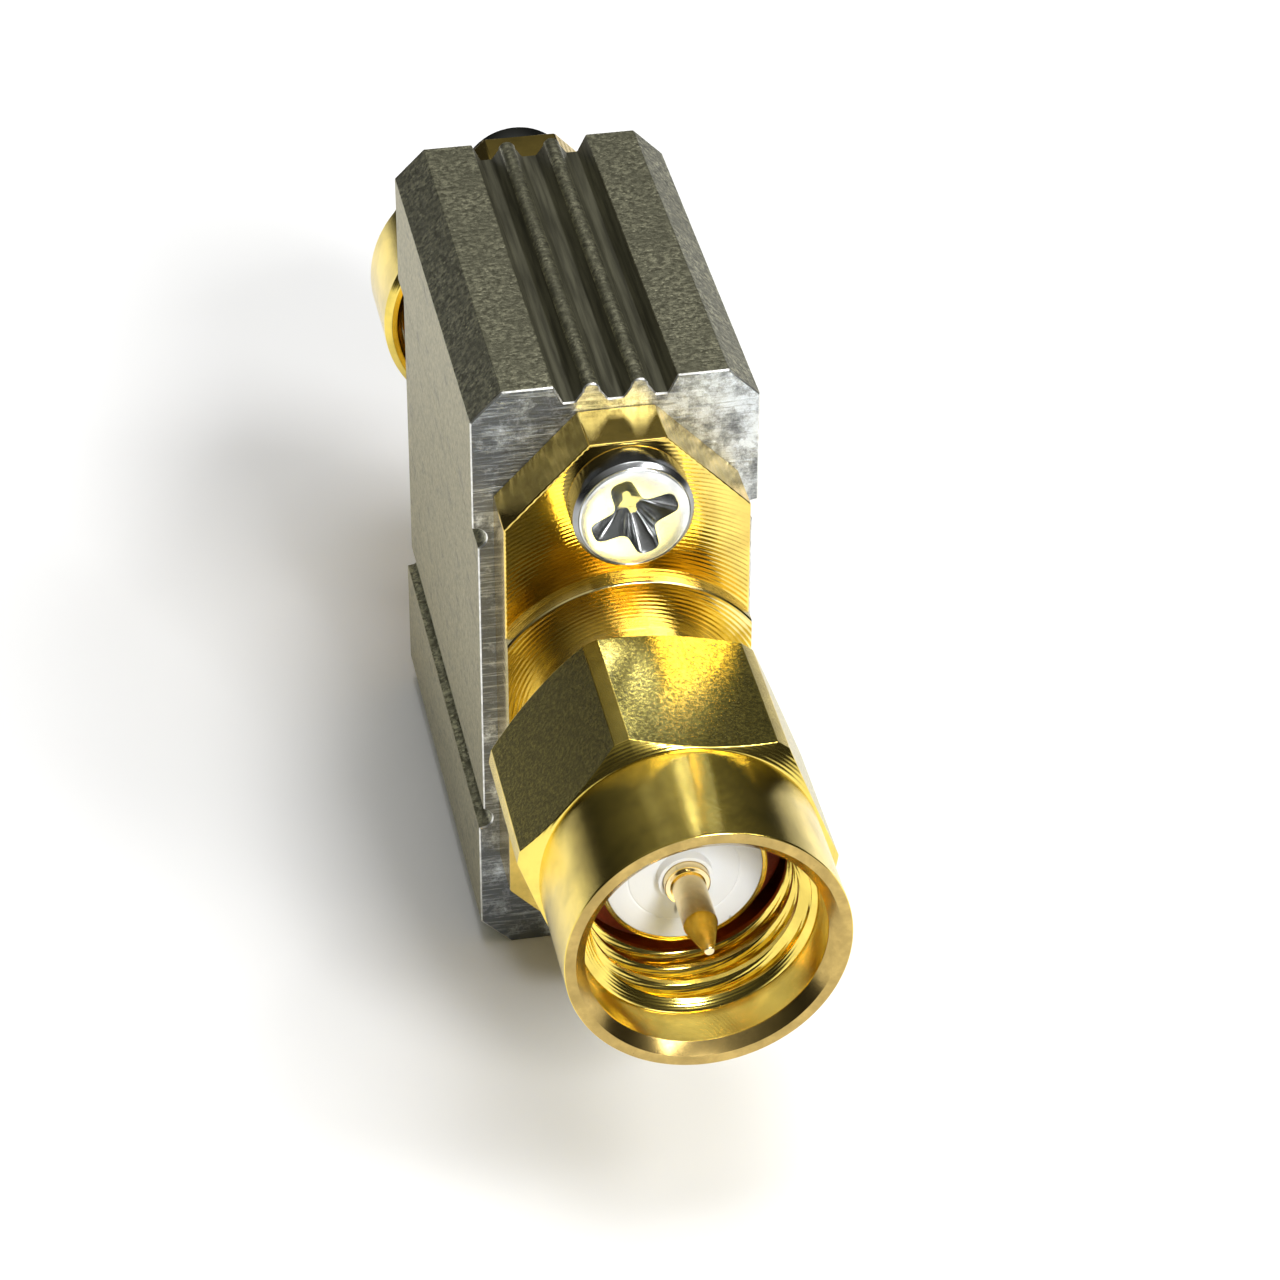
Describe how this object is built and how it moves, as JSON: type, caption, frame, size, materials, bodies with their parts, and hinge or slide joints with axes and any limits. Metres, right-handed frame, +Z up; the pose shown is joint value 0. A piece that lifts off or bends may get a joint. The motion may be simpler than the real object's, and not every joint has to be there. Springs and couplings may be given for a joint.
{
  "type": "coaxial rf filter",
  "caption": "In-line coaxial filter: ribbed aluminium housing with a flanged gold-plated plug and its hex coupling nut at one end and a flanged threaded jack at the other.",
  "frame": {"origin": "middle of the bounding box in X and Y, on the surface that the housing's narrow edge rests on", "axes": "+Z up, +Y along the connectors' axis from the plug to the jack, +X across the housing"},
  "size_m": [0.009, 0.038, 0.0194],
  "materials": {
    "housing_aluminium": "bead blasted, sawn ends",
    "gold_plate": "gold plated, turned",
    "contact_gold": "gold plated, polished",
    "nut_gold": "gold plated, satin flats",
    "spring_bronze": "satin",
    "red_silicone": "matte",
    "white_insulator": "waxy satin",
    "nickel_screw": "nickel plated",
    "green_board": "solder mask",
    "filter_ceramic": "satin",
    "chip_ferrite": "satin",
    "chip_ceramic": "satin",
    "solder": "bright solder"
  },
  "bodies": {
    "root": {"housing": "housing_aluminium", "plug_body": "gold_plate", "plug_insulator": "white_insulator", "plug_contact": "contact_gold", "snap_ring": "spring_bronze", "plug_gasket": "red_silicone", "jack_body": "gold_plate", "jack_insulator": "white_insulator", "jack_contact": "contact_gold", "plug_screw_upper": "nickel_screw", "plug_screw_lower": "nickel_screw", "jack_screw_upper": "nickel_screw", "jack_screw_lower": "nickel_screw", "circuit_board": "green_board", "filter_element": "filter_ceramic", "input_inductor": "chip_ferrite", "output_inductor": "chip_ferrite", "input_capacitor": "chip_ceramic", "output_capacitor": "chip_ceramic", "plug_solder": "solder", "jack_solder": "solder"},
    "coupling_nut": {"coupling_nut": "nut_gold"},
    "jack_nut": {"jack_nut": "nut_gold"}
  },
  "joints": [
    {"name": "coupling_nut_spin", "type": "hinge", "parent": "root", "child": "coupling_nut", "pos_m": [0, -0.0145, 0.0097], "axis": [0, 1, 0], "continuous": true},
    {"name": "jack_nut_spin", "type": "hinge", "parent": "root", "child": "jack_nut", "pos_m": [0, 0.01575, 0.0097], "axis": [0, 1, 0], "continuous": true}
  ]
}
